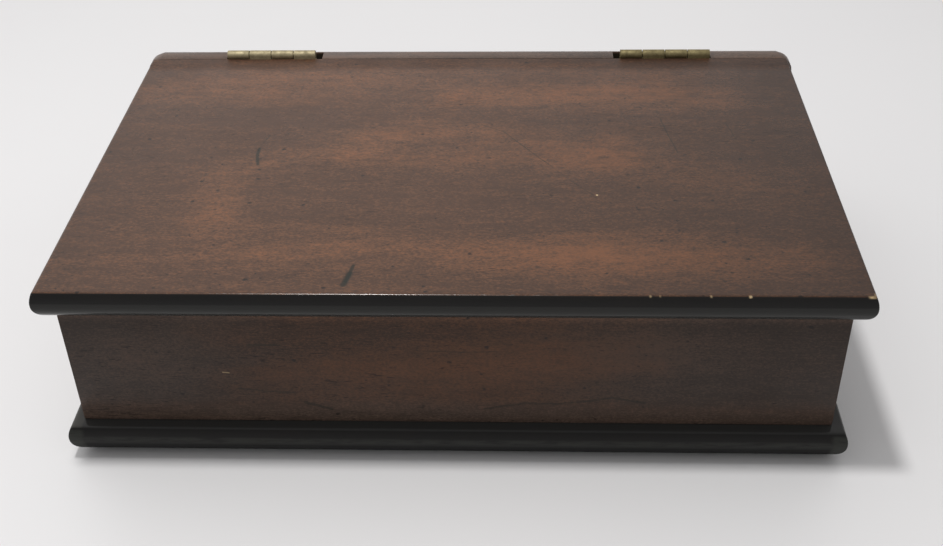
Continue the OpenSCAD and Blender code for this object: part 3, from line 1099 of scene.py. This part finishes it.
def screw_mesh(place, turn):
    """A countersunk wood screw with a slot and a thread that tapers to its tip."""
    bm = bmesh.new()
    around, rows = 28, 66
    cone = HEAD_RADIUS - SHANK_RADIUS
    head = [(0.9, 0.0), (1.45, -0.005), (HEAD_RADIUS - 0.03, -0.02), (HEAD_RADIUS, -0.08)]
    rings = [[(radius, height)] * around for radius, height in head]
    for k in range(rows + 1):
        height = -cone - (SCREW_LENGTH - cone) * k / rows
        taper = min(1, (SCREW_LENGTH + height) / 1.6 + 0.12)
        ring = []
        for j in range(around):
            phase = (height / THREAD_PITCH - j / around) % 1
            crest = max(0, 1 - abs(phase - 0.5) * 4)
            depth = 1 if k > 3 else k / 3
            radius = SHANK_RADIUS - depth * (SHANK_RADIUS - THREAD_ROOT) * (1 - crest)
            ring.append((radius * taper, height))
        rings.append(ring)
    verts = [[bm.verts.new(place(
        radius * math.cos(2 * math.pi * j / around), radius * math.sin(2 * math.pi * j / around),
        height)) for j, (radius, height) in enumerate(ring)] for ring in rings]
    for a, b in zip(verts, verts[1:]):
        for j in range(around):
            i = (j + 1) % around
            bm.faces.new((a[j], a[i], b[i], b[j]))
    bm.faces.new(verts[0][::-1])
    bm.faces.new(verts[-1])
    piece = mesh_piece("Screw", bm, [brass])
    slot = bmesh.new()
    turned = [Matrix.Rotation(turn, 2) @ Vector((a, b * SLOT_WIDTH / 2))
              for a, b in ((-3, -1), (3, -1), (3, 1), (-3, 1))]
    prism(slot, turned, SLOT_DEPTH + 1, lambda a, b, h: place(a, b, h - SLOT_DEPTH))
    return combine(piece, mesh_piece("Slot", slot, []), "DIFFERENCE")


def leaf_screws(label, part, direction, draw):
    """The two screws of one leaf, joined as one piece, each with its slot turned at random."""
    both = bmesh.new()
    for place in screw_places(label, part, direction):
        one = screw_mesh(place, draw.uniform(0, math.pi))
        both.from_mesh(one.data)
        bpy.data.objects.remove(one)
    both.transform(Matrix.Scale(1 / MM, 4))
    piece = mesh_piece(f"{label.title()}_{part}_leaf_screws", both, [brass])
    return stand_for(piece, part)


draw = random.Random(SEED)
for label in ("left", "right"):
    hinge_leaf(label, "case", 0, 1)
    hinge_leaf(label, "lid", 1, -1)
    hinge_pin(f"{label}_hinge_pin")
    leaf_screws(label, "case", 1, draw)
    leaf_screws(label, "lid", -1, draw)


# ======== Felt ========

FELT_CELL = 2.5       # size of a felt's faces, in millimetres
FELT_WAVER = 0.05     # how far its open face rises and falls
FELTS = [
    # CAD node, the way its open face looks, body, what it is glued to
    ("floor_lining", "+z", "case", "base_board"),
    ("front_lining", "+y", "case", "front_wall"),
    ("rear_lining", "-y", "case", "spine_board"),
    ("left_lining", "+x", "case", "left_wall"),
    ("right_lining", "-x", "case", "right_wall"),
    ("lid_lining", "-z", "lid", "lid_board"),
    ("base_pad", "-z", "case", "base_board"),
]


def felt_sheet(node, looks, body, glued_to):
    """A sheet of felt the size of its CAD node, a little uneven on its open face."""
    low, high = box_in_mm(node)
    axis = "xyz".index(looks[1])
    others = [k for k in range(3) if k != axis]
    outward = 1 if looks[0] == "+" else -1
    back = low[axis] if outward == 1 else high[axis]
    thickness = high[axis] - low[axis]
    counts = [max(2, round((high[k] - low[k]) / FELT_CELL)) for k in others]
    bm = bmesh.new()

    def vertex(i, j, height, pull):
        point = [0.0, 0.0, 0.0]
        for k, n, count in zip(others, (i, j), counts):
            point[k] = low[k] + (high[k] - low[k]) * n / count
            point[k] += pull if n == 0 else -pull if n == count else 0
        point[axis] = back + outward * height
        return bm.verts.new(point)

    def face_height(i, j):
        place = Vector((i * 0.31, j * 0.31, len(node)))
        edge = i in (0, counts[0]) or j in (0, counts[1])
        return thickness * (0.86 if edge else 0.95) + FELT_WAVER * noise.noise(place)

    top = [[vertex(i, j, min(thickness, face_height(i, j)), 0.18) for j in range(counts[1] + 1)]
           for i in range(counts[0] + 1)]
    under = [[vertex(i, j, 0.0, 0.02) for j in range(counts[1] + 1)]
             for i in range(counts[0] + 1)]
    for i in range(counts[0]):
        for j in range(counts[1]):
            bm.faces.new((top[i][j], top[i + 1][j], top[i + 1][j + 1], top[i][j + 1]))
            bm.faces.new((under[i][j], under[i][j + 1], under[i + 1][j + 1], under[i + 1][j]))
    rim = [(i, 0) for i in range(counts[0])] + [(counts[0], j) for j in range(counts[1])]
    rim += [(counts[0] - i, counts[1] - j) for i, j in rim]
    waist = [vertex(i, j, thickness * 0.45, 0.0) for i, j in rim]
    for n, (i, j) in enumerate(rim):
        m = (n + 1) % len(rim)
        a, b = rim[m]
        bm.faces.new((top[i][j], top[a][b], waist[m], waist[n]))
        bm.faces.new((waist[n], waist[m], under[a][b], under[i][j]))
    piece = mesh_piece(node.capitalize(), bm, [green_felt])
    stand_for(piece, body)
    return piece


for row in FELTS:
    felt_sheet(*row)


# ======== Floor, light and camera ========

FLOOR_RADIUS = 12000  # in millimetres, so that no view shows its edge near
FLOOR_DARK = (0.738, 0.738, 0.750)
FLOOR_PALE = (0.785, 0.785, 0.793)


def floor():
    bm = bmesh.new()
    bmesh.ops.create_circle(bm, cap_ends=True, segments=128, radius=FLOOR_RADIUS)
    s = Shader("Pale_floor", Roughness=0.45, IOR=1.8)
    cloud = s.noise(s.place, 0.004, 4, 0.6)
    s.set(Base_Color=s.mix(cloud, FLOOR_DARK, FLOOR_PALE),
          Normal=s.bump(s.noise(s.place, 0.6, 3), 0.01))
    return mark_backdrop(mesh_piece("Floor", bm, [s.material]))


KEY_PLACE = (-0.141, -0.047, 0.915)       # in metres
KEY_AIM = (0, 0, 0.03)
KEY_SIZE = 0.094
KEY_POWER = 4.55
KEY_COLOUR = (1.0, 0.985, 0.97)


def key_light():
    """A ceiling lamp, left of the box, that casts its shadow to the right."""
    data = bpy.data.lights.new("Key", "AREA")
    data.shape = "DISK"
    data.size = KEY_SIZE
    data.energy = KEY_POWER
    data.color = KEY_COLOUR
    light = added("Key", data)
    light.location = KEY_PLACE
    aim = Vector(KEY_AIM) - Vector(KEY_PLACE)
    light.rotation_euler = aim.to_track_quat("-Z", "Y").to_euler()


ROOM_COLOUR = (1.0, 0.985, 0.98, 1)
ROOM_BRIGHT = 0.93
ROOM_DIM = 0.39
ROOM_BRIGHT_SIDE = (-0.55, 0.58, 0.50)    # the pale wall and ceiling: behind, above and to the left


def room_light():
    """Soft light from the pale wall and ceiling; the room in front is dim."""
    made = bpy.data.worlds.new("Room")
    made.use_nodes = True
    tree = made.node_tree
    background = tree.nodes["Background"]
    background.inputs["Color"].default_value = ROOM_COLOUR
    direction = tree.nodes.new("ShaderNodeTexCoord").outputs["Generated"]
    towards = tree.nodes.new("ShaderNodeVectorMath")
    towards.operation = "DOT_PRODUCT"
    towards.inputs[1].default_value = ROOM_BRIGHT_SIDE
    tree.links.new(direction, towards.inputs[0])
    level = tree.nodes.new("ShaderNodeMapRange")
    level.interpolation_type = "SMOOTHSTEP"
    limits = {"From Min": 0.15, "From Max": 0.95, "To Min": ROOM_DIM, "To Max": ROOM_BRIGHT}
    for socket, value in limits.items():
        level.inputs[socket].default_value = value
    tree.links.new(towards.outputs["Value"], level.inputs["Value"])
    tree.links.new(level.outputs[0], background.inputs["Strength"])
    bpy.context.scene.world = made


CAMERA_PLACE = (0.01845, -0.34053, 0.26329)    # in metres
CAMERA_YAW = 2.621       # degrees to the left of straight ahead
CAMERA_PITCH = 36.191    # degrees below the horizon
CAMERA_ROLL = -1.302     # degrees
CAMERA_LENS = 47.494     # on a sensor 36 mm wide


def camera():
    data = bpy.data.cameras.new("Camera")
    data.sensor_width = 36
    data.lens = CAMERA_LENS
    data.clip_start = 0.01
    made = added("Camera", data)
    made.location = CAMERA_PLACE
    turn = Euler((math.radians(90 - CAMERA_PITCH), 0, math.radians(CAMERA_YAW))).to_matrix()
    roll = Matrix.Rotation(math.radians(CAMERA_ROLL), 3, "Z")
    made.rotation_euler = (turn @ roll).to_euler()
    bpy.context.scene.camera = made


floor()
key_light()
room_light()
camera()
bpy.context.scene.view_settings.view_transform = "Standard"
